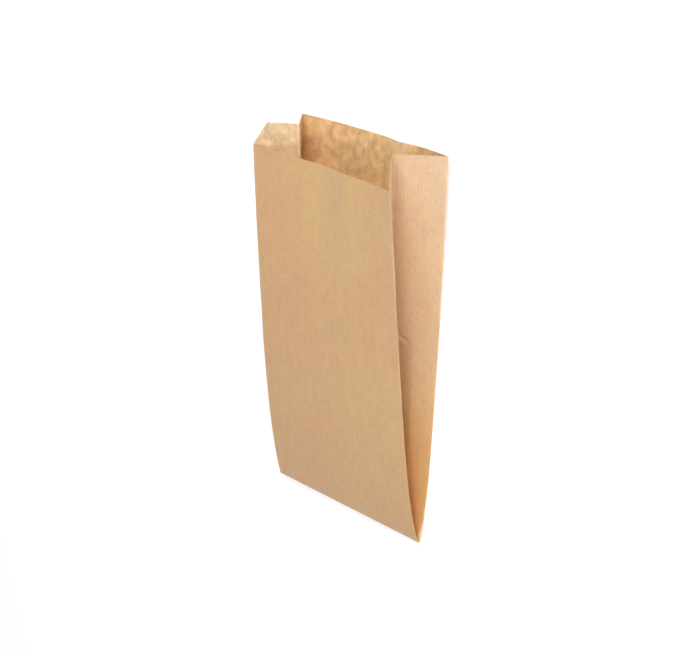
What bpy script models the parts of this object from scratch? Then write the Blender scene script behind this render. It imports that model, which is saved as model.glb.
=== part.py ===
"""Brown paper lunch bag with side gussets and a folded bottom edge, lying on its back panel.

One sheet of ribbed kraft paper makes the whole bag: a front panel, a back panel with a glued
seam, two gussets folded inwards, and a bottom edge folded up and glued on the back.
The bag lies on the flat middle of its back panel, with its mouth towards +Y.
"""
import math

import bmesh
import bpy
from mathutils import Vector

# Driving sizes, in metres
bag_width = 0.140
bag_height = 0.220
gusset_half = 0.030
front_lip = 0.0138
corner_cut = 0.009
paper = 0.00015
bottom_stack = 0.0008
bottom_flap = 0.014
flap_thickness = 0.0004
seam_width = 0.010
seam_centre = -0.0145

# How the empty bag stands open: shares of the gusset's full depth, and the early part of the flare
mouth_open = {-1: 0.662, 1: 0.728}
early_flare = {-1: 0.244, 1: 0.152}
flare_reach = {-1: 0.043, 1: 0.0245}
front_sag = 0.0053
corner_curl = 0.0046
curl_start = 0.35
toe_lift = 0.0036
toe_length = 0.048

# Heights along the paper where the glued layers part
groove_start = 0.003
inside_start = 0.006
flap_edge = 0.0004

# How finely the curves are cut
arc_steps = 440
toe_stations = 4
body_stations = 6
mouth_stations = 4
mouth_zone = 0.055

paper_colour = (0.62, 0.40, 0.22, 1.0)
paper_roughness = 0.85


def flare(height, early, reach):
    """Rise of a front fold from 0 at the bottom to 1 at the mouth, quicker near the bottom."""
    quick = (1.0 - math.exp(-height / reach)) / (1.0 - math.exp(-bag_height / reach))
    return (1.0 - early) * height / bag_height + early * quick


def back_rise(height):
    """Height of the back panel's middle over the surface that the bag lies on."""
    return paper / 2 + toe_lift * max(0.0, 1.0 - height / toe_length) ** 2


def front_rise(height, side):
    """Height of the front fold on the left (-1) or the right (+1)."""
    low = back_rise(0.0) + bottom_stack
    high = paper / 2 + mouth_open[side] * 2.0 * gusset_half
    return low + (high - low) * flare(height, early_flare[side], flare_reach[side])


def run_table(rise):
    """Distances along the bag that paper reaches when it climbs as rise says."""
    step = bag_height / arc_steps
    table = [0.0]
    for index in range(arc_steps):
        climb = rise((index + 1) * step) - rise(index * step)
        table.append(table[-1] + math.sqrt(step * step - climb * climb))
    return table


def run_at(table, height):
    """Distance along the bag at a height along the paper."""
    place = height / bag_height * arc_steps
    index = min(int(place), arc_steps - 1)
    return table[index] + (table[index + 1] - table[index]) * (place - index)


back_run = run_table(back_rise)
front_run = {
    -1: run_table(lambda height: front_rise(height, -1)),
    1: run_table(lambda height: front_rise(height, 1)),
}


def mouth_share(height):
    """0 as far as the toe reaches, growing to 1 at the mouth."""
    return max(0.0, (height - toe_length) / (bag_height - toe_length)) ** 2


def back_point(across, height):
    """The back panel's middle surface; across runs from -1 at the left fold to 1."""
    beyond = max(0.0, (abs(across) - curl_start) / (1.0 - curl_start))
    rise = back_rise(height) + corner_curl * mouth_share(height) * beyond ** 2
    return Vector((across * bag_width / 2, run_at(back_run, height), rise))


def front_fold(side, height):
    return Vector((side * bag_width / 2, run_at(front_run[side], height), front_rise(height, side)))


def front_point(across, height):
    """The front panel's middle surface, which sags inwards towards the mouth."""
    point = front_fold(-1, height).lerp(front_fold(1, height), (across + 1.0) / 2)
    point.z -= front_sag * mouth_share(height) * (1.0 - across * across)
    return point


def crease(side, height):
    """The gusset's inner crease, half a gusset away from both folds."""
    front = front_fold(side, height)
    back = back_point(side, height)
    point = (front + back) / 2
    point.x -= side * math.sqrt(gusset_half ** 2 - ((front - back).length / 2) ** 2)
    return point


def half_places():
    """Places across half a gusset, from its fold (0) to its crease (1)."""
    cut = corner_cut / gusset_half
    return [0.0, cut, (1.0 + cut) / 2, 1.0]


def panel_places():
    """Places across a panel: over the gussets as the gussets have them, then the middle."""
    edge = [share * gusset_half / bag_width for share in half_places()]
    inner = (1.0 - curl_start) / 2
    return edge + [inner, 0.5, 1.0 - inner] + [1.0 - place for place in reversed(edge)]


def seam_profile(places):
    """The back panel's places with the glued seam's raised strip on the inside."""
    first = 0.5 + (seam_centre - seam_width / 2) / bag_width
    last = 0.5 + (seam_centre + seam_width / 2) / bag_width
    profile = [(place, 0.0) for place in places if place < first]
    profile += [(first, 0.0), (first, paper), (last, paper), (last, 0.0)]
    return profile + [(place, 0.0) for place in places if place > last]


class Strip:
    """One flat piece of the sheet between two folds, crossed in the ring's direction."""

    def __init__(self, surface, places, fold_place=None, cut=0.0):
        self.surface = surface
        self.places = places
        self.fold_place = fold_place
        self.cut = cut

    def top(self, place):
        """Where the paper ends: the front is cut lower, and a gusset's front corner aslant."""
        if self.fold_place is None:
            return bag_height - self.cut
        reached = min(1.0, abs(place - self.fold_place) * gusset_half / corner_cut)
        return bag_height - self.cut * (1.0 - reached)

    def height(self, place, station):
        """The upper stations draw together so that the last one is the cut edge."""
        start = bag_height - mouth_zone
        if station <= start:
            return station
        return start + (station - start) * (self.top(place) - start) / mouth_zone

    def sample(self, place, station):
        """Middle point and outward normal at a place across and a station along."""
        real = self.height(place, station)
        step = 0.001
        low = max(0.0, place - step)
        high = min(1.0, place + step)
        under = max(0.0, real - step * bag_height)
        over = min(bag_height, real + step * bag_height)
        across = self.surface(high, real) - self.surface(low, real)
        along = self.surface(place, over) - self.surface(place, under)
        return self.surface(place, real), along.cross(across).normalized()


def ring_of_strips():
    """The bag's six pieces in order: back, right gusset, front and left gusset."""
    panel = panel_places()
    half = half_places()
    mirrored = [1.0 - place for place in reversed(half)]
    return {
        "back": Strip(lambda p, h: back_point(2 * p - 1, h), panel),
        "right_back": Strip(lambda p, h: back_point(1, h).lerp(crease(1, h), p), half),
        "right_front": Strip(lambda p, h: crease(1, h).lerp(front_fold(1, h), p), mirrored, 1.0, front_lip),
        "front": Strip(lambda p, h: front_point(1 - 2 * p, h), panel, None, front_lip),
        "left_front": Strip(lambda p, h: front_fold(-1, h).lerp(crease(-1, h), p), half, 0.0, front_lip),
        "left_back": Strip(lambda p, h: crease(-1, h).lerp(back_point(-1, h), p), mirrored),
    }


names = ["back", "right_back", "right_front", "front", "left_front", "left_back"]
creased = {"right_back": True, "left_front": True}


def stations():
    """Heights of the mesh's rows, from the bottom edge to the mouth."""
    rows = [0.0, groove_start, inside_start, bottom_flap, bottom_flap + flap_edge]
    zones = [(rows[-1], toe_length, toe_stations),
             (toe_length, bag_height - mouth_zone, body_stations),
             (bag_height - mouth_zone, bag_height, mouth_stations)]
    for low, high, count in zones:
        rows += [low + (high - low) * (index + 1) / count for index in range(count)]
    return rows


class Skin:
    """The paper's outer (+1) or inner (-1) face as columns of mesh points."""

    def __init__(self, mesh, strips, side):
        self.mesh = mesh
        self.strips = strips
        self.side = side
        self.columns = {name: self.strip_columns(name) for name in names}
        self.folds = {}
        for index, name in enumerate(names):
            follower = names[(index + 1) % len(names)]
            self.join(name, follower)

    def offset(self, name, place_extra, station):
        place, extra = place_extra
        point, normal = self.strips[name].sample(place, station)
        if self.side > 0 and name == "back" and station <= bottom_flap:
            extra = flap_thickness
        return point + normal * self.side * (paper / 2 + extra)

    def strip_columns(self, name):
        places = self.strips[name].places
        profile = [(place, 0.0) for place in places]
        if self.side < 0 and name == "back":
            profile = seam_profile(places)
        return [[self.mesh.verts.new(self.offset(name, item, station)) for station in stations()]
                for item in profile]

    def join(self, name, follower):
        """Rounds the outside of a fold with a column between, and mitres its inside."""
        inward = name in creased
        rounded = inward == (self.side < 0)
        last = self.columns[name][-1]
        first = self.columns[follower][0]
        middle = []
        for row, station in enumerate(stations()):
            point, one = self.strips[name].sample(1.0, station)
            two = self.strips[follower].sample(0.0, station)[1]
            if rounded:
                place = point + (one + two).normalized() * self.side * paper / 2
                middle.append(self.mesh.verts.new(place))
            else:
                last[row].co = point + (one + two) * (self.side * paper / 2 / (1.0 + one.dot(two)))
        if rounded:
            self.folds[name] = middle
        else:
            for vertex in first:
                self.mesh.verts.remove(vertex)
            self.columns[follower][0] = last

    def ring(self):
        """All columns around the bag, in order."""
        order = []
        for name in names:
            for column in self.columns[name]:
                if not order or order[-1] is not column:
                    order.append(column)
            if name in self.folds:
                order.append(self.folds[name])
        if order[0] is order[-1]:
            order.pop()
        return order


def face(mesh, corners):
    """Makes one face, leaving out corners that are the same point."""
    kept = []
    for corner in corners:
        if corner not in kept:
            kept.append(corner)
    if len(kept) > 2:
        mesh.faces.new(kept)


def cover(mesh, columns, rows):
    """Faces between neighbouring columns over the rows given."""
    for left, right in zip(columns, columns[1:]):
        for row in rows:
            face(mesh, [left[row], right[row], right[row + 1], left[row + 1]])


def web(mesh, one, other, row):
    """Faces that close the gap between two matching sets of columns at one row."""
    for index in range(len(one) - 1):
        face(mesh, [one[index][row], one[index + 1][row], other[index + 1][row], other[index][row]])


def close_outside(mesh, outer, count):
    """Panels from the bottom edge up, gusset grooves above their glued end."""
    whole = range(count - 1)
    below = range(stations().index(groove_start))
    above = range(stations().index(groove_start), count - 1)
    columns = outer.columns
    for name in ("back", "front"):
        cover(mesh, columns[name], whole)
    for name in ("right_back", "right_front", "left_front", "left_back"):
        cover(mesh, columns[name], above)
    for name, follower in zip(names, names[1:] + names[:1]):
        if name in outer.folds:
            cover(mesh, [columns[name][-1], outer.folds[name], columns[follower][0]], whole)
    row = stations().index(groove_start)
    for lower, upper in (("right_back", "right_front"), ("left_front", "left_back")):
        cover(mesh, [columns[lower][0], columns[upper][-1]], below)
        web(mesh, columns[lower], columns[upper][::-1], row)


def close_bottom(mesh, outer):
    """The bottom edge: a strip as thick as the folded layers, with its two ends."""
    columns = outer.columns
    web(mesh, columns["back"], columns["front"][::-1], 0)
    right = [columns["back"][-1], outer.folds["back"], columns["right_back"][0],
             columns["right_front"][-1], outer.folds["right_front"], columns["front"][0]]
    left = [columns["front"][-1], outer.folds["front"], columns["left_front"][0],
            columns["left_back"][-1], outer.folds["left_back"], columns["back"][0]]
    for end in (right, left):
        face(mesh, [column[0] for column in end])


def close_inside(mesh, inner, count):
    """The inside of the bag, down to where the panels are glued together."""
    row = stations().index(inside_start)
    ring = inner.ring()
    cover(mesh, ring + ring[:1], range(row, count - 1))
    columns = inner.columns
    reach = len(half_places())
    front = columns["front"]
    back = columns["back"]
    web(mesh, front[:reach], columns["right_front"][::-1], row)
    web(mesh, front[::-1][:reach], columns["left_front"], row)
    web(mesh, back[::-1][:reach], columns["right_back"], row)
    web(mesh, back[:reach], columns["left_back"][::-1], row)
    middle = back[reach - 1:len(back) - reach + 1]
    middle += [columns["right_back"][-1], inner.folds["right_back"], columns["right_front"][0]]
    middle += front[reach - 1:len(front) - reach + 1]
    middle += [columns["left_front"][-1], inner.folds["left_front"], columns["left_back"][0]]
    face(mesh, [column[row] for column in middle])


def close_rim(mesh, outer, inner):
    """The cut edge of the paper, around the mouth."""
    top = -1
    for name in names:
        out = outer.columns[name]
        into = inner.columns[name]
        if len(out) == len(into):
            web(mesh, out, into, top)
            continue
        steps = len(into) - len(out)
        seam = next(index for index, place in enumerate(outer.strips[name].places)
                    if place > 0.5 + (seam_centre + seam_width / 2) / bag_width)
        web(mesh, out[:seam], into[:seam], top)
        web(mesh, out[seam:], into[seam + steps:], top)
        edge = into[seam - 1:seam + steps + 1]
        face(mesh, [out[seam - 1][top], out[seam][top]] + [column[top] for column in edge[::-1]])
    for name, follower in zip(names, names[1:] + names[:1]):
        rounded = outer if name in outer.folds else inner
        mitred = inner if name in outer.folds else outer
        tip = mitred.columns[name][-1][top]
        middle = rounded.folds[name][top]
        face(mesh, [tip, rounded.columns[name][-1][top], middle])
        face(mesh, [tip, middle, rounded.columns[follower][0][top]])


def drop_unused(mesh):
    """Removes the inner points below the glued strip, and the grooves' points below their end."""
    for vertex in [vertex for vertex in mesh.verts if not vertex.link_faces]:
        mesh.verts.remove(vertex)


def centre_on_base(mesh):
    """Puts the middle of the bag's base at the origin."""
    low = [min(vertex.co[axis] for vertex in mesh.verts) for axis in range(3)]
    high = [max(vertex.co[axis] for vertex in mesh.verts) for axis in range(3)]
    shift = Vector((-(low[0] + high[0]) / 2, -(low[1] + high[1]) / 2, -low[2]))
    bmesh.ops.translate(mesh, vec=shift, verts=mesh.verts)


def kraft_paper():
    material = bpy.data.materials.new("kraft_paper")
    material.use_nodes = True
    shader = material.node_tree.nodes["Principled BSDF"]
    shader.inputs["Base Color"].default_value = paper_colour
    shader.inputs["Roughness"].default_value = paper_roughness
    shader.inputs["Metallic"].default_value = 0.0
    return material


def build_bag():
    strips = ring_of_strips()
    count = len(stations())
    mesh = bmesh.new()
    outer = Skin(mesh, strips, 1)
    inner = Skin(mesh, strips, -1)
    close_outside(mesh, outer, count)
    close_bottom(mesh, outer)
    close_inside(mesh, inner, count)
    close_rim(mesh, outer, inner)
    drop_unused(mesh)
    centre_on_base(mesh)
    bmesh.ops.recalc_face_normals(mesh, faces=mesh.faces)
    data = bpy.data.meshes.new("paper_bag")
    mesh.to_mesh(data)
    mesh.free()
    data.materials.append(kraft_paper())
    bag = bpy.data.objects.new("paper_bag", data)
    bpy.context.scene.collection.objects.link(bag)
    return bag


for old in list(bpy.data.objects):
    bpy.data.objects.remove(old)
build_bag()
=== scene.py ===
# %% [markdown]
# A brown paper lunch bag, lying on its back panel.
# A bag of this kind is one sheet of ribbed kraft paper. It is wrapped round into a tube, glued
# in a lap seam at the back, folded in at both sides, and turned up and glued at the bottom. The
# photograph doesn't show the seam or the glued bottom, so those follow the usual make.
# The model follows that: one long sheet whose folds come from a few sizes, then the ribs and
# the paper's thickness, and last the finish and the light.

import math

import bpy
import numpy as np
from mathutils import Matrix, Vector


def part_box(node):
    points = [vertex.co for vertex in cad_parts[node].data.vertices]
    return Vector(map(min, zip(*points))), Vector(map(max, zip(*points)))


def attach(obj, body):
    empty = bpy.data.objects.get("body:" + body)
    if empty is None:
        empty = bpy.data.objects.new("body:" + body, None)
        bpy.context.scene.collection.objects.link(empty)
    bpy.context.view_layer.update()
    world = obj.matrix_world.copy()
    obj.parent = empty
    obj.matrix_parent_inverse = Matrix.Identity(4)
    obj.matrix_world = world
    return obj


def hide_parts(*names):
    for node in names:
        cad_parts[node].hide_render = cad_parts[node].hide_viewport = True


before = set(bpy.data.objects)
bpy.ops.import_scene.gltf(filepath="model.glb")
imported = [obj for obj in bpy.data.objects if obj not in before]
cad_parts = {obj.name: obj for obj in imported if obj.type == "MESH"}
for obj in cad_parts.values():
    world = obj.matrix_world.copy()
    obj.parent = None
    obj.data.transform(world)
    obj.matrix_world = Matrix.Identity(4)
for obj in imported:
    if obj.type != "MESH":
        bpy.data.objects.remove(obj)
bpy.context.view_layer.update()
cad_low, cad_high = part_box("paper_bag")

# %% [markdown]
# A bag is cut and folded from a few lengths. They could be read off the finished model, but
# folds are easier to follow from the flat sheet, so these are the flat bag's own sizes, in
# metres. A gusset, the pleat at a side, is as deep as both its halves. Where the two sides
# differ, -1 is the left one and 1 the right one.

# %% Sizes of the flat bag
bag_width = 0.140
bag_height = 0.220
gusset_half = 0.030
paper = 0.00015
bottom_stack = 0.0008
bottom_flap = 0.014
seam_width = 0.010
seam_centre = -0.0145
half_width = bag_width / 2
print("sheet width", 2 * bag_width + 4 * gusset_half + seam_width)

# %% [markdown]
# Seen from the side, the front folds rise from the bottom edge in a curve that is steeper at
# first, and the bottom end of the back lifts a little from the table. Cloth simulation could
# open the bag, but creased paper only bends, and a curve per fold gives a cleaner form.

# %% Rise of the folds
mouth_open = {-1: 0.662, 1: 0.728}
early_flare = {-1: 0.244, 1: 0.152}
flare_reach = {-1: 0.043, 1: 0.0245}
toe_lift = 0.0036
toe_length = 0.048


def flare(height, side):
    """Share of the opening reached at a height: an even climb and a quick early one."""
    reach = flare_reach[side]
    quick = (1.0 - np.exp(-height / reach)) / (1.0 - math.exp(-bag_height / reach))
    return (1.0 - early_flare[side]) * height / bag_height + early_flare[side] * quick


def back_rise(height):
    return paper / 2 + toe_lift * np.maximum(0.0, 1.0 - height / toe_length) ** 2


def front_rise(height, side):
    low = paper / 2 + toe_lift + bottom_stack
    high = paper / 2 + mouth_open[side] * 2.0 * gusset_half
    return low + (high - low) * flare(height, side)


print("folds at the mouth", [round(float(front_rise(bag_height, side)), 4) for side in (-1, 1)])

# %% [markdown]
# Paper doesn't stretch, so a fold that climbs reaches less far along the table. The distance
# could be solved for, but adding up many short steps along the fold is simple and exact enough.

# %% Distance along the bag
arc_samples = 441
arc_heights = np.linspace(0.0, bag_height, arc_samples)


def run_table(rise):
    """How far along the bag each height lies when the fold rises as given."""
    climb = np.diff(rise(arc_heights))
    steps = np.sqrt(np.diff(arc_heights) ** 2 - climb ** 2)
    return np.concatenate([[0.0], np.cumsum(steps)])


back_run = run_table(back_rise)
front_run = {side: run_table(lambda height: front_rise(height, side)) for side in (-1, 1)}
shift_y = cad_high[1] - back_run[-1]
print("bottom edge at y", round(shift_y, 5))

# %% [markdown]
# The back panel lies on the table. Towards the mouth its corners curl up and one gentle bend
# crosses its edge. These could be sculpted by hand, but a sum of smooth curves keeps the paper
# even, and every later step can ask it for any point.

# %% Back panel
corner_curl = {-1: 0.0046, 1: 0.0036}
curl_start = 0.35
back_wave = 0.0028
wave_place = 0.34
wave_spread = 0.17


def points(x, y, z):
    x, y, z = np.broadcast_arrays(x, y, z)
    return np.stack([x, y + shift_y, z], axis=-1)


def hump(value, place, spread):
    """1 at the place given, falling away smoothly on both sides."""
    return np.exp(-((value - place) / spread) ** 2)


def mouth_share(height):
    """0 up to the end of the toe, then growing faster and faster to 1 at the mouth."""
    return np.maximum(0.0, (height - toe_length) / (bag_height - toe_length)) ** 2


def back_point(across, height):
    """Point of the back: across runs from -1 at the left fold to 1 at the right one."""
    beyond = np.maximum(0.0, (np.abs(across) - curl_start) / (1.0 - curl_start))
    curl = np.where(across > 0.0, corner_curl[1], corner_curl[-1]) * beyond ** 2
    bend = curl + back_wave * hump(across, wave_place, wave_spread)
    rise = back_rise(height) + bend * mouth_share(height)
    return points(across * bag_width / 2, np.interp(height, arc_heights, back_run), rise)


print("back at the mouth's middle", np.round(back_point(np.array(0.0), bag_height), 4))

# %% [markdown]
# The front panel hangs between its two folds, so it sags where nothing holds it, and its edge
# waves a little. A flat plane would look like card. It is a straight blend of the two folds
# with the sag and the wave added, which keeps it joined to the gussets.

# %% Front panel
front_sag = 0.0053
front_wave = 0.0014
front_wave_spread = 0.15
front_bump, front_dip = 0.29, -0.07


def front_fold(side, height):
    run = np.interp(height, arc_heights, front_run[side])
    return points(side * bag_width / 2, run, front_rise(height, side))


def between(one, other, share):
    return one * (1.0 - share)[..., None] + other * share[..., None]


def front_point(across, height):
    point = between(front_fold(-1, height), front_fold(1, height), (across + 1.0) / 2)
    wave = (hump(across, front_bump, front_wave_spread)
            - hump(across, front_dip, front_wave_spread))
    bend = front_wave * wave - front_sag * (1.0 - across * across)
    point[..., 2] += bend * mouth_share(height)
    return point


print("front at the mouth's middle", np.round(front_point(np.array(0.0), np.array(bag_height)), 4))

# %% [markdown]
# A gusset is folded inwards along its middle, so it is a V seen from the mouth. The crease
# could be placed by eye, but both halves are equally wide, and that fixes where it lies. At
# the mouth, where the paper is free, it wanders about a millimetre.

# %% Crease of a gusset
crease_shift = {-1: (-0.0009, 0.0005), 1: (-0.001, 0.0)}


def crease(side, height):
    """Inner fold of a gusset, one half's width from the front fold and from the back fold."""
    front = front_fold(side, height)
    back = back_point(float(side), height)
    half_gap = np.linalg.norm(front - back, axis=-1) / 2
    point = (front + back) / 2
    point[..., 0] -= side * np.sqrt(gusset_half ** 2 - half_gap ** 2)
    point[..., 0] += crease_shift[side][0] * mouth_share(height)
    point[..., 2] += crease_shift[side][1] * mouth_share(height)
    return point


print("right crease at the mouth", np.round(crease(1, np.array(bag_height)), 4))

# %% [markdown]
# The sheet starts at the lap seam on the back, runs round the bag and ends under its own
# start, as is usual. Six separate panels could leave gaps at the folds, so the strips between
# the folds are listed in order and become one mesh. Each has its width and its surface.

# %% Strips of the sheet
seam_start = seam_centre - seam_width / 2
strips = [
    ("back", half_width - seam_start,
     lambda d, h: back_point((seam_start + d) / half_width, h)),
    ("right_back", gusset_half,
     lambda d, h: between(back_point(1.0, h), crease(1, h), d / gusset_half)),
    ("right_front", gusset_half,
     lambda d, h: between(crease(1, h), front_fold(1, h), d / gusset_half)),
    ("front", bag_width,
     lambda d, h: front_point(1.0 - d / half_width, h)),
    ("left_front", gusset_half,
     lambda d, h: between(front_fold(-1, h), crease(-1, h), d / gusset_half)),
    ("left_back", gusset_half,
     lambda d, h: between(crease(-1, h), back_point(-1.0, h), d / gusset_half)),
    ("back_end", seam_start + half_width + seam_width,
     lambda d, h: back_point((d - half_width) / half_width, h)),
]
print("strips", [(name, round(width, 4)) for name, width, _ in strips])

# %% [markdown]
# Such bags are cut with a toothed knife, which leaves a fine zigzag. The front is cut lower
# than the back, so that the bag is easy to open, and each gusset's front corner is cut aslant.
# A boolean could cut all that, but then the rows of points would end anywhere, so the sheet's
# own top edge follows the cut.

# %% Cut edge at the mouth
front_lip = 0.0138
corner_cut = {-1: 0.0100, 1: 0.0090}
tooth_pitch = 0.0016
tooth_depth = 0.00035


def mouth_cut(name, distance):
    """Height of the cut edge: lower at the front, aslant at each gusset's front corner."""
    if name == "front":
        drop = np.full_like(distance, 1.0)
    elif name == "left_front":
        drop = 1.0 - np.minimum(1.0, distance / corner_cut[-1])
    elif name == "right_front":
        drop = 1.0 - np.minimum(1.0, (gusset_half - distance) / corner_cut[1])
    else:
        drop = np.zeros_like(distance)
    return bag_height - front_lip * drop


def teeth(along):
    """The fine zigzag of the cut, as depths below the edge."""
    return tooth_depth * np.abs(2.0 * ((along / tooth_pitch) % 1.0) - 1.0)


print("front edge at height", round(bag_height - front_lip, 4))

# %% [markdown]
# The right gusset has a small dent, which needs finer faces than the rest. Finer faces all
# over would make the mesh too heavy, so the rows lie closer together at the dent's height and
# near the bottom, where the folds bend most.

# %% Heights of the rows
sheet_rows = 52
dent_height = 0.1145
extra_at_dent, dent_rows_reach = 6.0, 0.006
extra_at_bottom, bottom_rows_share = 1.5, 0.1
share_samples = 801
shares = np.linspace(0.0, 1.0, share_samples)
closeness = 1.0 + extra_at_dent * hump(shares * bag_height, dent_height, dent_rows_reach)
closeness = closeness + extra_at_bottom * np.exp(-shares / bottom_rows_share)
counted = np.concatenate([[0.0], np.cumsum((closeness[1:] + closeness[:-1]) / 2)])
row_shares = np.interp(np.linspace(0.0, 1.0, sheet_rows), counted / counted[-1], shares)
print("rows from", round(bag_height * float(np.diff(row_shares).min()), 5),
      "to", round(bag_height * float(np.diff(row_shares).max()), 5), "apart")

# %% [markdown]
# The paper is painted lighter along its folds, both for rubbing and for the highlight on each
# fold's edge, and a painted highlight lies on the back's bend at the mouth. The gussets grow
# paler towards the mouth, and that is a painted sheen. A painted picture could say where, but
# both follow from a point's place on the sheet, so each point gets a number for each.

# %% Painted highlights, painted sheen and rubbed places
# Painted highlight and rubbing along the folds, and a painted highlight on the back's bend at the
# mouth.
fold_wear_and_highlight = 0.0006
bend_highlight, bend_highlight_spread = 0.6, 0.1
bend_highlight_start, bend_highlight_full = 0.93, 0.98
# The pale tone, painted sheen on the gussets and paleness of worn places, grows between these
# shares of the height.
sheen_wear_start, sheen_wear_full = 0.08, 0.5


def smooth(low, high, value):
    """0 below low, 1 above high and smooth between."""
    share = np.clip((value - low) / (high - low), 0.0, 1.0)
    return share * share * (3.0 - 2.0 * share)


def rubbing_and_highlight(name, distance, width, strip_points, height):
    """Lightening of a strip's points: rubbing and painted highlight along its folds, and painted
    highlight on the back's bend at the mouth.
    """
    to_fold = np.minimum(distance, width - distance)
    worn_and_lit = np.broadcast_to(np.exp(-to_fold / fold_wear_and_highlight)[:, None], height.shape)
    if name.startswith("back"):
        # Painted highlight on the back's bend near the mouth.
        bend = hump(strip_points[..., 0] / half_width, wave_place, bend_highlight_spread)
        near_mouth = smooth(bend_highlight_start, bend_highlight_full, height / bag_height)
        worn_and_lit = np.maximum(worn_and_lit, bend_highlight * (bend * near_mouth))
    return worn_and_lit


def sheen_and_wear_of(name, worn_and_lit, height):
    """Paleness of a strip's points: painted sheen on all of a gusset, and elsewhere the rubbed
    places and painted highlights.
    """
    share = 1.0 if name.startswith(("right", "left")) else worn_and_lit
    return share * smooth(sheen_wear_start, sheen_wear_full, height / bag_height)


print("fold wear halves in", round(fold_wear_and_highlight * math.log(2.0), 5))

# %% [markdown]
# Columns of points lie a quarter of a rib apart, so that the ribs can be real relief later.
# Beside its place, each point keeps its distance round the sheet, its height along it, its
# wear with painted highlight, its paleness from painted sheen and wear, and how loose the paper
# is there: the back rests on the table.

# %% Columns of the sheet
rib_pitch = 0.0019
columns_per_rib = 4
column_step = rib_pitch / columns_per_rib
lap_step = 1.3
resting, loose = 0.06, 1.0
grid, sheet_u, sheet_v, wear_and_highlight, give, sheen_and_wear = [], [], [], [], [], []
start_u = 0.0
fold_columns = []
for name, width, surface in strips:
    distance = np.linspace(0.0, width, int(round(width / column_step)) + 1)
    if grid:
        fold_columns.append(len(sheet_u) - 1)
        distance = distance[1:]
    top = mouth_cut(name, distance) - teeth(start_u + distance)
    height = top[:, None] * row_shares[None, :]
    strip_points = surface(np.broadcast_to(distance[:, None], height.shape), height)
    if name == "back_end":
        under = np.clip((distance - (width - seam_width)) / column_step + 1.0, 0.0, 1.0)
        strip_points[..., 2] += (under * paper * lap_step)[:, None]
    # Rubbing and painted highlights make the points lighter; painted sheen and wear make them
    # paler.
    worn_and_lit = rubbing_and_highlight(name, distance, width, strip_points, height)
    grid.extend(strip_points)
    sheet_u.extend(start_u + distance)
    sheet_v.extend(height)
    wear_and_highlight.extend(worn_and_lit)
    sheen_and_wear.extend(sheen_and_wear_of(name, worn_and_lit, height))
    give.extend(np.full(len(distance), resting if name.startswith("back") else loose))
    start_u += width
grid = np.array(grid)
sheet_u = np.array(sheet_u)
sheet_v = np.array(sheet_v)
print("columns", len(grid), "rows", sheet_rows, "folds at", fold_columns)

# %% [markdown]
# The dent is a small knock beside the right gusset's groove. A bump in the finish would shade
# it, but not bend the paper, so the points themselves are pushed inwards. It is an oval that
# lies aslant, about two and a half times as long as it is wide.

# %% Dent in the right gusset
dent_across = 0.72 * gusset_half
dent_radius = 0.0016
dent_depth = 0.0010
dent_stretch = 3.0
dent_slant = 0.6
half_columns = slice(fold_columns[0], fold_columns[1] + 1)
half_across = (sheet_u[half_columns] - sheet_u[fold_columns[0]])[:, None]
half_height = sheet_v[half_columns]
slant = (half_height - dent_height) - dent_slant * (half_across - dent_across)
stretch = (half_height - dent_height) + (half_across - dent_across)
dent = dent_depth * np.exp(-(slant / dent_radius) ** 2
                           - (stretch / (dent_stretch * dent_radius)) ** 2)
print("dent", round(float(dent.max()), 5))

# %% [markdown]
# Below the dent the gusset's back half bends deeper into the bag, beside its crease. It could
# be one more strip with its own folds, but the real bend is soft, so the same points sink by a
# smooth amount that fades out at the crease, at the dent and near the bottom. Its rise and its
# fall overlap, so the deepest point stays short of hollow_depth, as the print shows.

# %% Hollow below the dent
hollow_depth = 0.0021
hollow_start, hollow_slope, hollow_end = 0.52, 0.36, 0.8
hollow_above, hollow_reach = 0.001, 0.006
hollow_foot = (0.02, 0.06)
inwards = np.array([-0.5, 0.0, -0.8])
across_share = half_across / gusset_half
profile = np.clip((across_share - hollow_start) / hollow_slope, 0.0, 1.0)
profile = profile * (1.0 - smooth(hollow_end, 1.0, across_share))
hollow = hollow_depth * profile * smooth(dent_height + hollow_above,
                                         dent_height - hollow_reach, half_height)
hollow *= smooth(*hollow_foot, half_height)
grid[half_columns] += (dent + hollow)[..., None] * inwards
print("hollow", round(float(hollow.max() * np.linalg.norm(inwards)), 5), "deep")

# %% [markdown]
# A fold in paper is not a knife edge: its outside turns over a fraction of a millimetre. A
# bevel would round it and change the columns beside it, so each fold column is only pulled a
# little towards the middle of its neighbours.

# %% Soft folds
fold_softness = 0.35
for column in fold_columns:
    middle = (grid[column - 1] + grid[column + 1]) / 2
    grid[column] += fold_softness * (middle - grid[column])
print("softened folds", len(fold_columns))

# %% [markdown]
# On such bags all the layers are turned up together at the bottom and glued on the back. The
# stack could be built sheet by sheet, but only its outside shows, so the front panel's columns
# run on round the bottom edge in a half circle and then along the back as the flap.

# %% Turned bottom edge
turn_steps = 5
flap_steps = 6
flap_gap = 0.0003
# The flap's free edge gets a painted highlight: its last row, this far past the one before, is
# painted lighter.
edge_highlight_step = 0.0005
first_front, last_front = fold_columns[2], fold_columns[3]
turn_radius = (bottom_stack + flap_gap + paper) / 2
angles = np.pi * (np.arange(1, turn_steps + 1) / turn_steps)
turn_rows = []
for column in range(first_front, last_front + 1):
    x, y, z = grid[column, 0]
    turn = np.stack([
        np.full(turn_steps, x),
        y - turn_radius * np.sin(angles),
        (z - turn_radius) + turn_radius * np.cos(angles)], axis=1)
    free_edge = bottom_flap - teeth(sheet_u[column])
    heights = np.append(np.linspace(0.0, free_edge - edge_highlight_step, flap_steps)[1:], free_edge)
    flap = back_point(x / half_width, heights)
    flap[:, 2] -= flap_gap
    turn_rows.append(np.concatenate([turn, flap]))
turn_rows = np.array(turn_rows)
print("turned edge", turn_rows.shape)

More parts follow.
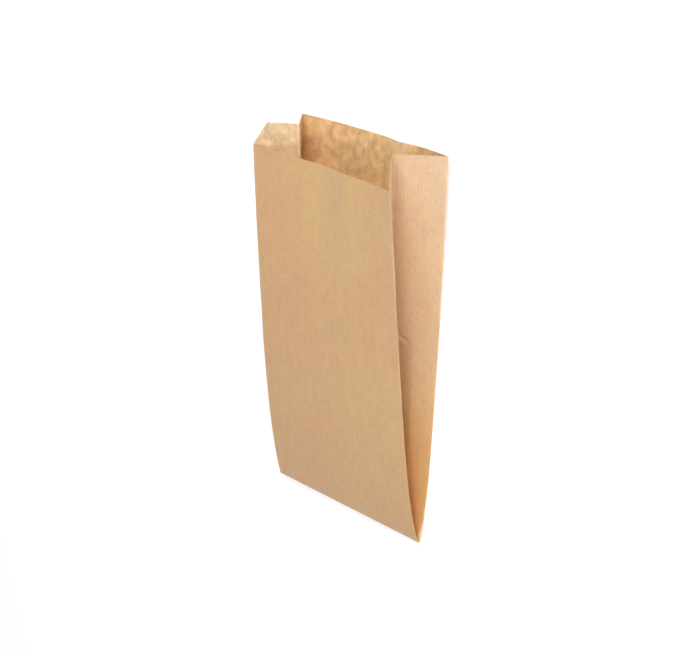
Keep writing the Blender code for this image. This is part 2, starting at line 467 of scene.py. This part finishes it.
# %% [markdown]
# Two grids of points now exist, the sheet and its turned edge, which on the bag are one paper.
# They could be bridged by hand, but their columns match one to one, so the faces of both grids
# and of the joint between them are counted out and made in one go.

# %% Sheet mesh
def grid_faces(first_row, columns, rows, turned):
    """Quads of one grid of points, wound so that they face away from the inside."""
    index = first_row + np.arange(columns * rows).reshape(columns, rows)
    quads = np.stack([index[:-1, :-1], index[:-1, 1:], index[1:, 1:], index[1:, :-1]], axis=-1)
    quads = quads.reshape(-1, 4)
    return quads[:, ::-1] if turned else quads


turn_columns, turn_count = turn_rows.shape[:2]
vertices = np.concatenate([grid.reshape(-1, 3), turn_rows.reshape(-1, 3)])
turn_start = len(grid) * sheet_rows
joint_top = np.arange(first_front, last_front + 1) * sheet_rows
joint_low = turn_start + np.arange(turn_columns) * turn_count
faces = np.concatenate([
    grid_faces(0, len(grid), sheet_rows, False),
    grid_faces(turn_start, turn_columns, turn_count, True),
    np.stack([joint_top[:-1], joint_top[1:], joint_low[1:], joint_low[:-1]], axis=-1)])
sheet_mesh = bpy.data.meshes.new("paper_sheet")
sheet_mesh.from_pydata(vertices.tolist(), [], faces.tolist())
print("sheet", len(sheet_mesh.vertices), "points", len(sheet_mesh.polygons), "faces")

# %% [markdown]
# The finish has to follow the sheet round every fold. A UV map could do that, but an attribute
# keeps real metres: first the distance round the sheet, then the height along it, and third
# how loose the paper is. Two more attributes hold the wear with its painted highlights, and the
# paleness of the painted sheen and the wear.

# %% Sheet attributes
turn_first = 0.0005


def add_attribute(name, kind, field, on_sheet, on_turn):
    layer = sheet_mesh.attributes.new(name, kind, "POINT")
    layer.data.foreach_set(field, np.concatenate([on_sheet, on_turn]).ravel())


zeros = np.zeros(turn_columns * turn_count)
# Painted highlight on the flap's free edge: its last row is painted lighter.
flap_edge_highlight = np.tile(np.arange(turn_count) == turn_count - 1, turn_columns).astype(float)
turn_place = np.stack([
    np.repeat(sheet_u[first_front:last_front + 1], turn_count),
    np.tile(-np.linspace(turn_first, bottom_flap, turn_count), turn_columns),
    zeros], axis=1)
sheet_place = np.stack([
    np.repeat(sheet_u, sheet_rows), sheet_v.ravel(), np.repeat(give, sheet_rows)], axis=1)
add_attribute("sheet", "FLOAT_VECTOR", "vector", sheet_place, turn_place)
add_attribute("wear_and_highlight", "FLOAT", "value", np.array(wear_and_highlight).ravel(), flap_edge_highlight)
add_attribute("sheen_wear", "FLOAT", "value", np.array(sheen_and_wear).ravel(), zeros)
sheet_object = bpy.data.objects.new("paper_sheet", sheet_mesh)
bpy.context.scene.collection.objects.link(sheet_object)
print("attributes", [layer.name for layer in sheet_mesh.attributes])

# %% [markdown]
# Node trees can be wired socket by socket, but shader maths reads best as plain expressions.
# So one small class wraps a socket and turns Python's operators into Math nodes, with their
# reflected forms so that 1 - mask works too. Any other node comes from its one method, node.

# %% Shader expressions
class Signal:
    """A value in a node tree that can be added, multiplied and so on."""

    def __init__(self, tree, socket):
        self.tree = tree
        self.socket = socket

    def node(self, kind, settings=None, out=0, **sockets):
        """Add a node. A socket is named, or i and its number where names are shared."""
        made = self.tree.nodes.new(kind)
        for key, value in (settings or {}).items():
            setattr(made, key, value)
        for key, value in sockets.items():
            numbered = key[0] == "i" and key[1:].isdigit()
            place = made.inputs[int(key[1:]) if numbered else key]
            if isinstance(value, Signal):
                self.tree.links.new(value.socket, place)
            else:
                place.default_value = value
        return Signal(self.tree, made.outputs[out])

    def sibling(self, output):
        """Another output of the node that this value comes from."""
        return Signal(self.tree, self.socket.node.outputs[output])

    def maths(self, operation, *values):
        sockets = {"i%d" % index: value for index, value in enumerate(values)}
        return self.node("ShaderNodeMath", {"operation": operation}, **sockets)

    def __add__(self, other):
        return self.maths("ADD", self, other)

    def __radd__(self, other):
        return self.maths("ADD", other, self)

    def __sub__(self, other):
        return self.maths("SUBTRACT", self, other)

    def __rsub__(self, other):
        return self.maths("SUBTRACT", other, self)

    def __mul__(self, other):
        return self.maths("MULTIPLY", self, other)

    def __rmul__(self, other):
        return self.maths("MULTIPLY", other, self)

    def __truediv__(self, other):
        return self.maths("DIVIDE", self, other)

    def __rtruediv__(self, other):
        return self.maths("DIVIDE", other, self)

    def sine(self):
        return self.maths("SINE", self)

    def clamped(self):
        return self.node("ShaderNodeClamp", None, 0, Value=self)

    def ramp(self, low, high):
        """0 below low, 1 above high and smooth between."""
        return self.node("ShaderNodeMapRange", {"interpolation_type": "SMOOTHSTEP"}, 0,
                         Value=self, **{"From Min": low, "From Max": high})


print("reflected forms", [name for name in vars(Signal) if name.startswith("__r")])

# %% [markdown]
# This kind of paper has fine ribs all over, and thin paper never lies quite flat, which is
# called cockling. A bump map would shade the ribs but leave the outline straight. Both follow
# a rule, so a Geometry Nodes tree moves the points: a sine round the sheet for the ribs and
# slow noise for the cockles. First come the tree's named inputs.

# %% Inputs of the relief tree
relief = bpy.data.node_groups.new("paper_relief", "GeometryNodeTree")
relief.interface.new_socket("Geometry", in_out="INPUT", socket_type="NodeSocketGeometry")
for label in ("Rib Pitch", "Rib Depth", "Cockle Size", "Cockle Depth", "Seed"):
    relief.interface.new_socket(label, in_out="INPUT", socket_type="NodeSocketFloat")
relief.interface.new_socket("Paper", in_out="INPUT", socket_type="NodeSocketMaterial")
relief.interface.new_socket("Geometry", in_out="OUTPUT", socket_type="NodeSocketGeometry")
inputs = relief.nodes.new("NodeGroupInput")
outputs = relief.nodes.new("NodeGroupOutput")
given = {socket.name: Signal(relief, socket) for socket in inputs.outputs if socket.name}
print("inputs", list(given))

# %% Relief tree
cockle_start, cockle_full = 0.01, 0.08
base = given["Geometry"]
place = base.node("GeometryNodeInputNamedAttribute", {"data_type": "FLOAT_VECTOR"}, 0, Name="sheet")
across = base.node("ShaderNodeSeparateXYZ", None, 0, Vector=place)
along, looseness = across.sibling(1), across.sibling(2)
ribs = ((across / given["Rib Pitch"] * (2 * math.pi)).sine() - 1.0) * 0.5 * given["Rib Depth"]
where = base.node("GeometryNodeInputPosition")
scaled = base.node("ShaderNodeVectorMath", {"operation": "SCALE"}, 0,
                   Vector=where, Scale=1.0 / given["Cockle Size"])
noise = base.node("ShaderNodeTexNoise", {"noise_dimensions": "4D"}, 0, Vector=scaled,
                  W=given["Seed"], Scale=1.0, Detail=1.0)
cockles = (noise - 0.5) * 2.0 * given["Cockle Depth"]
cockles = cockles * looseness * along.ramp(cockle_start, cockle_full)
normal = base.node("GeometryNodeInputNormal")
push = base.node("ShaderNodeVectorMath", {"operation": "SCALE"}, 0,
                 Vector=normal, Scale=ribs + cockles)
moved = base.node("GeometryNodeSetPosition", None, 0, Geometry=base, Offset=push)
plain = base.node("GeometryNodeRealizeInstances", None, 0, Geometry=moved)
dressed = base.node("GeometryNodeSetMaterial", None, 0, Geometry=plain, Material=given["Paper"])
relief.links.new(dressed.socket, outputs.inputs[0])
print("relief nodes", len(relief.nodes))

# %% [markdown]
# Brown kraft is a warm tan with long fibres and a slow drift between two near tones, and its
# ribs get painted shade in their valleys and painted light on their crests. A scanned picture of
# paper would repeat and would not follow the folds, so noise is stretched along the sheet for
# fibres and streaks, and taken in plain metres for grain and clouds. Rubbed places and painted
# highlights turn lighter, and the painted sheen and worn places paler.

# %% Patterns of the paper
fibre_scale, fibre_detail = (2400.0, 380.0), 3.0
streak_scale, streak_detail = (330.0, 40.0), 2.0
uneven_scale, uneven_detail = (500.0, 30.0), 2.0
grain_scale, grain_detail = 900.0, 3.0
cloud_scale, cloud_detail = 170.0, 2.5
patch_scale, patch_detail = 90.0, 2.0
drift_scale, drift_detail = 16.0, 1.0
# Strength of the painted shade and light on the ribs, steady and uneven.
rib_shade_steady, rib_shade_uneven = 0.5, 1.2


def paper_patterns(tree):
    """One paper's patterns by name: they vary round 0, but wear with painted highlight and painted
    sheen run from 0 to 1.
    """
    start = Signal(tree, None)
    place = start.node("ShaderNodeAttribute", {"attribute_name": "sheet"}, 1)
    across = start.node("ShaderNodeSeparateXYZ", None, 0, Vector=place)
    object_place = start.node("ShaderNodeTexCoord", None, 3)

    def noise(vector, scale, detail):
        texture = start.node("ShaderNodeTexNoise", None, 0,
                             Vector=vector, Scale=scale, Detail=detail)
        return texture - 0.5

    def sheet_noise(scales, detail):
        stretched = start.node("ShaderNodeVectorMath", {"operation": "MULTIPLY"}, 0,
                               i0=place, i1=(*scales, 1.0))
        return noise(stretched, 1.0, detail)

    # Painted shade in the rib valleys and painted light on the crests, in step with the relief.
    rib_shade = (across * (2 * math.pi / rib_pitch)).sine()
    uneven = sheet_noise(uneven_scale, uneven_detail)
    return {
        "ribs": rib_shade * (rib_shade_steady + uneven * rib_shade_uneven),
        "fibres": sheet_noise(fibre_scale, fibre_detail),
        "streaks": sheet_noise(streak_scale, streak_detail),
        "grain": noise(object_place, grain_scale, grain_detail),
        "cloud": noise(object_place, cloud_scale, cloud_detail),
        "patches": noise(object_place, patch_scale, patch_detail),
        "drift": noise(object_place, drift_scale, drift_detail),
        # Wear with painted highlights, and the paleness of painted sheen and worn places.
        "rubbed_and_lit": start.node("ShaderNodeAttribute", {"attribute_name": "wear_and_highlight"}, 2),
        "sheened_and_worn": start.node("ShaderNodeAttribute", {"attribute_name": "sheen_wear"}, 2),
    }


print("finest fibre", round(1.0 / fibre_scale[0], 5), "across")

# %% [markdown]
# The outside, the inside and the cut edge are one paper, so three separate recipes would say
# the same thing three times. One function makes them all from two near tones, a pale tone for
# the painted sheen and wear, and the strength of each pattern, the painted rib shade among them.

# %% Recipe of the paper
tone_fibres, tone_grain, tone_drift, tone_streaks = 0.45, 0.3, 0.18, 0.16
hue_drift, hue_patches, hue_streaks = 2.4, 1.6, 1.2
sheen_wear_strength = 0.78
rough_fibres = 0.3
bump_fibres, bump_grain = 0.7, 0.5
bump_strength, bump_distance = 0.3, 0.00008


def mixed(factor, one, other):
    """A colour between two, each a colour or a value of the tree."""
    ends = [end if isinstance(end, Signal) else (*end, 1.0) for end in (one, other)]
    return factor.node("ShaderNodeMix", {"data_type": "RGBA"}, 2, i0=factor, i6=ends[0], i7=ends[1])


def kraft_material(name, warm, cool, pale, rib_shade_tone, cloud_tone, lighter, gloss, roughness):
    """Kraft between two near tones, with painted shade on the ribs, clouds, and rubbed places with
    painted highlights, of the strengths given.
    """
    material = bpy.data.materials.new(name)
    material.use_nodes = True
    tree = material.node_tree
    shader = tree.nodes["Principled BSDF"]
    shader.inputs["Specular IOR Level"].default_value = gloss
    on = paper_patterns(tree)
    tone = (1.0 + on["fibres"] * tone_fibres + on["grain"] * tone_grain
            + on["drift"] * tone_drift + on["streaks"] * tone_streaks)
    # Painted shade and light on the ribs, and painted highlights with rubbing, go into the tone.
    tone = tone + on["ribs"] * rib_shade_tone + on["cloud"] * cloud_tone + on["rubbed_and_lit"] * lighter
    hue = (on["drift"] * hue_drift + on["patches"] * hue_patches
           + on["streaks"] * hue_streaks + 0.5)
    # The pale tone is mixed in for the painted sheen on the gussets and for worn places.
    base = mixed(on["sheened_and_worn"] * sheen_wear_strength, mixed(hue.clamped(), warm, cool), pale)
    toned = base.node("ShaderNodeVectorMath", {"operation": "SCALE"}, 0, i0=base, Scale=tone)
    rough = roughness + on["fibres"] * rough_fibres
    height = on["fibres"] * bump_fibres + on["grain"] * bump_grain
    bump = base.node("ShaderNodeBump", None, 0,
                     Strength=bump_strength, Distance=bump_distance, Height=height)
    for value, socket in ((toned, "Base Color"), (rough, "Roughness"), (bump, "Normal")):
        tree.links.new(value.socket, shader.inputs[socket])
    print(name, len(tree.nodes), "nodes")
    return material


# %% [markdown]
# The outside is a little glossy, and it turns paler in the gussets by a painted sheen. The
# inside is rougher and cloudier, and lighter partly as painted light that makes up for the shade
# inside the bag. One tone for both would be simpler, but they differ in the photograph, so they
# were tuned by comparing renders with it. The cut edge's tone is a guess that suits them.

# %% Paper finishes
# The third tone of each paper is its pale tone for the painted sheen and for worn places.
kraft = kraft_material(
    "kraft_paper", (0.75, 0.405, 0.172), (0.69, 0.418, 0.162), (0.64, 0.443, 0.274),
    rib_shade_tone=0.03, cloud_tone=0.2, lighter=0.28, gloss=1.0, roughness=0.42)
# The inside's lighter tones are partly painted light, making up for the shade inside the bag.
kraft_inside = kraft_material(
    "kraft_inside", (0.84, 0.55, 0.275), (0.815, 0.54, 0.255), (0.77, 0.572, 0.352),
    rib_shade_tone=0.01, cloud_tone=1.0, lighter=0.25, gloss=0.2, roughness=0.85)
cut_edge = kraft_material(
    "cut_edge", (0.70, 0.46, 0.28), (0.68, 0.46, 0.28), (0.66, 0.46, 0.30),
    rib_shade_tone=0.0, cloud_tone=0.1, lighter=0.0, gloss=0.2, roughness=0.85)

# %% [markdown]
# Now the relief tree goes on the sheet. Its sizes are set through each input's identifier,
# before the sheet is first evaluated. The modifier could stay live, but a plain mesh is
# quicker and can't change later, so the result is kept and the modifier removed.

# %% Ribs and cockles on the sheet
relief_values = {"Rib Pitch": rib_pitch, "Rib Depth": 0.000045, "Cockle Size": 0.034,
                 "Cockle Depth": 0.0006, "Seed": 4.0, "Paper": kraft}
relief_modifier = sheet_object.modifiers.new("relief", "NODES")
relief_modifier.node_group = relief
for item in relief.interface.items_tree:
    if item.in_out == "INPUT" and item.name in relief_values:
        relief_modifier[item.identifier] = relief_values[item.name]


def settled(source, name):
    """The evaluated object as a plain mesh."""
    view = bpy.context.evaluated_depsgraph_get()
    mesh = bpy.data.meshes.new_from_object(
        source.evaluated_get(view), preserve_all_data_layers=True, depsgraph=view)
    mesh.name = name
    return mesh


ribbed = settled(sheet_object, "paper_sheet_ribbed")
sheet_object.modifiers.remove(relief_modifier)
sheet_object.data = ribbed
print("ribbed sheet", len(ribbed.vertices))

# %% [markdown]
# So far the sheet is the paper's middle and has no thickness. Its two faces could be built
# apart and sewn together, but Solidify does that in one step, and it can give the inside and
# the rim their own materials: the rim becomes the cut edge.

# %% Thickness
fold_angle = math.radians(70)
ribbed.materials.clear()
for finish in (kraft, kraft_inside, cut_edge):
    ribbed.materials.append(finish)
thick = sheet_object.modifiers.new("thickness", "SOLIDIFY")
thick.thickness = paper
thick.offset = 0.0
thick.use_even_offset = False
thick.use_rim = True
thick.material_offset = 1
thick.material_offset_rim = 2
bag = bpy.data.objects.new("lunch_bag", settled(sheet_object, "lunch_bag"))
bpy.context.scene.collection.objects.link(bag)
bpy.data.objects.remove(sheet_object)
bag.data.shade_smooth()
bag.data.set_sharp_from_angle(angle=fold_angle)
triangles = sum(len(face.vertices) - 2 for face in bag.data.polygons)
print("bag", len(bag.data.vertices), "points", triangles, "triangles")

# %% [markdown]
# The camera stands where the photograph's camera stood relative to the bag, so it looks down on
# the lying bag with the mouth at the top of the picture. It could be aimed with a constraint,
# but its place and turn were fitted together, so both are set. Its azimuth turns from the front
# panel's face towards the right side, its elevation rises towards the mouth, and its roll tips
# the picture.

# %% Camera
image_width = 700
focal_pixels = 2461.9
sensor_width = 36.0
camera_azimuth = math.radians(53.82)
camera_elevation = math.radians(14.0)
camera_roll = math.radians(3.91)
camera_from_bottom_edge = Vector((1.1036, 0.4485, 0.8178))
camera_data = bpy.data.cameras.new("camera")
camera_data.sensor_width = sensor_width
camera_data.lens = focal_pixels / image_width * sensor_width
camera_data.clip_end = 10.0
camera = bpy.data.objects.new("camera", camera_data)
backwards = Vector((math.sin(camera_azimuth) * math.cos(camera_elevation),
                    math.sin(camera_elevation),
                    math.cos(camera_azimuth) * math.cos(camera_elevation)))
level = Vector((0.0, 1.0, 0.0)).cross(backwards).normalized()
right = math.cos(camera_roll) * level + math.sin(camera_roll) * backwards.cross(level)
up = backwards.cross(right)
spin = Matrix((right, up, backwards)).transposed()
camera_place = camera_from_bottom_edge + Vector((0, shift_y, 0))
camera.matrix_world = Matrix.Translation(camera_place) @ spin.to_4x4()
bpy.context.scene.collection.objects.link(camera)
bpy.context.scene.camera = camera
print("camera at", [round(value, 4) for value in camera_place])

# %% [markdown]
# Studio light on paper is soft and plain. One sun could leave the inside dark, so three round
# lamps share the work. A weak one on the right reaches into the open gusset, a wide one beyond
# the mouth lights the inside, and one above on the right gives the front its even tone.

# %% Lamps
def area_lamp(name, direction, distance, size, power):
    """A round lamp in the direction given from the origin, and turned towards it."""
    data = bpy.data.lights.new(name, "AREA")
    data.shape = "DISK"
    data.size = size
    data.energy = power
    lamp = bpy.data.objects.new(name, data)
    heading = Vector(direction).normalized()
    lamp.location = heading * distance
    lamp.rotation_euler = heading.to_track_quat("Z", "Y").to_euler()
    bpy.context.scene.collection.objects.link(lamp)
    print(name, [round(value, 3) for value in lamp.location])


area_lamp("side_lamp", (0.95, 0.10, 0.33), distance=1.25, size=0.4, power=1.6)
area_lamp("mouth_lamp", (0.42, 0.95, 0.62), distance=1.15, size=0.8, power=8.4)
area_lamp("sheen_lamp", (0.71, -0.06, 0.69), distance=1.36, size=0.4, power=4.2)

# %% [markdown]
# The room is white to look at but gives only a soft fill. A plain white world would light the
# paper far more, so the world's colour asks what kind of ray arrives: the camera, reflections
# and glass see white, and everything else gets the darker grey that lights the bag.

# %% World
world_light = 0.37


def seen_directly(tree):
    """1 for what the camera sees itself, or in a mirror or through glass."""
    seen = Signal(tree, None).node("ShaderNodeLightPath", None, "Is Camera Ray")
    rays = [seen.sibling(name) for name in ("Is Glossy Ray", "Is Transmission Ray")]
    for ray in rays:
        seen = seen.maths("MAXIMUM", seen, ray)
    return seen


def grey_mix(tree, dark, pale):
    """A grey that is pale where it is seen directly and dark as a source of light."""
    return mixed(seen_directly(tree), (dark, dark, dark), (pale, pale, pale))


world = bpy.data.worlds.new("studio")
world.use_nodes = True
bpy.context.scene.world = world
backdrop = world.node_tree.nodes["Background"]
backdrop.inputs["Strength"].default_value = 1.0
sky = grey_mix(world.node_tree, world_light, 1.0)
world.node_tree.links.new(sky.socket, backdrop.inputs["Color"])
print("world light", world_light)

# %% [markdown]
# The floor is a plain white table, and no part of the bag. It could be a shadow catcher over a
# flat background, but a real floor also throws light back on the bag. It is almost white, glows a
# little where it is seen directly, and keeps the bag's shadow.

# %% Floor
floor_half = 4.0
floor_drop = 0.00006
floor_white = 0.93
floor_glow = 0.45
floor_level = cad_low[2] - floor_drop
floor_mesh = bpy.data.meshes.new("floor")
floor_corners = ((-1, -1), (1, -1), (1, 1), (-1, 1))
floor_mesh.from_pydata([(x * floor_half, y * floor_half, floor_level) for x, y in floor_corners],
                       [], [(0, 1, 2, 3)])
floor = bpy.data.objects.new("floor", floor_mesh)
bpy.context.scene.collection.objects.link(floor)
white = bpy.data.materials.new("white_floor")
white.use_nodes = True
floor_shader = white.node_tree.nodes["Principled BSDF"]
for socket, value in (("Base Color", (floor_white, floor_white, floor_white, 1.0)),
                      ("Roughness", 0.9), ("Specular IOR Level", 0.1), ("Emission Strength", 1.0)):
    floor_shader.inputs[socket].default_value = value
glow = grey_mix(white.node_tree, 0.0, floor_glow)
white.node_tree.links.new(glow.socket, floor_shader.inputs["Emission Color"])
floor_mesh.materials.append(white)
print("floor at z", round(floor_level, 5))

# %% [markdown]
# Last, the bag rides on the one body and takes the place of the plain CAD bag, which is
# hidden. Colours show best as written, so the view transform is the standard one.

# %% View settings and the bag's body
bpy.context.scene.view_settings.view_transform = "Standard"
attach(bag, "root")
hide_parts("paper_bag")
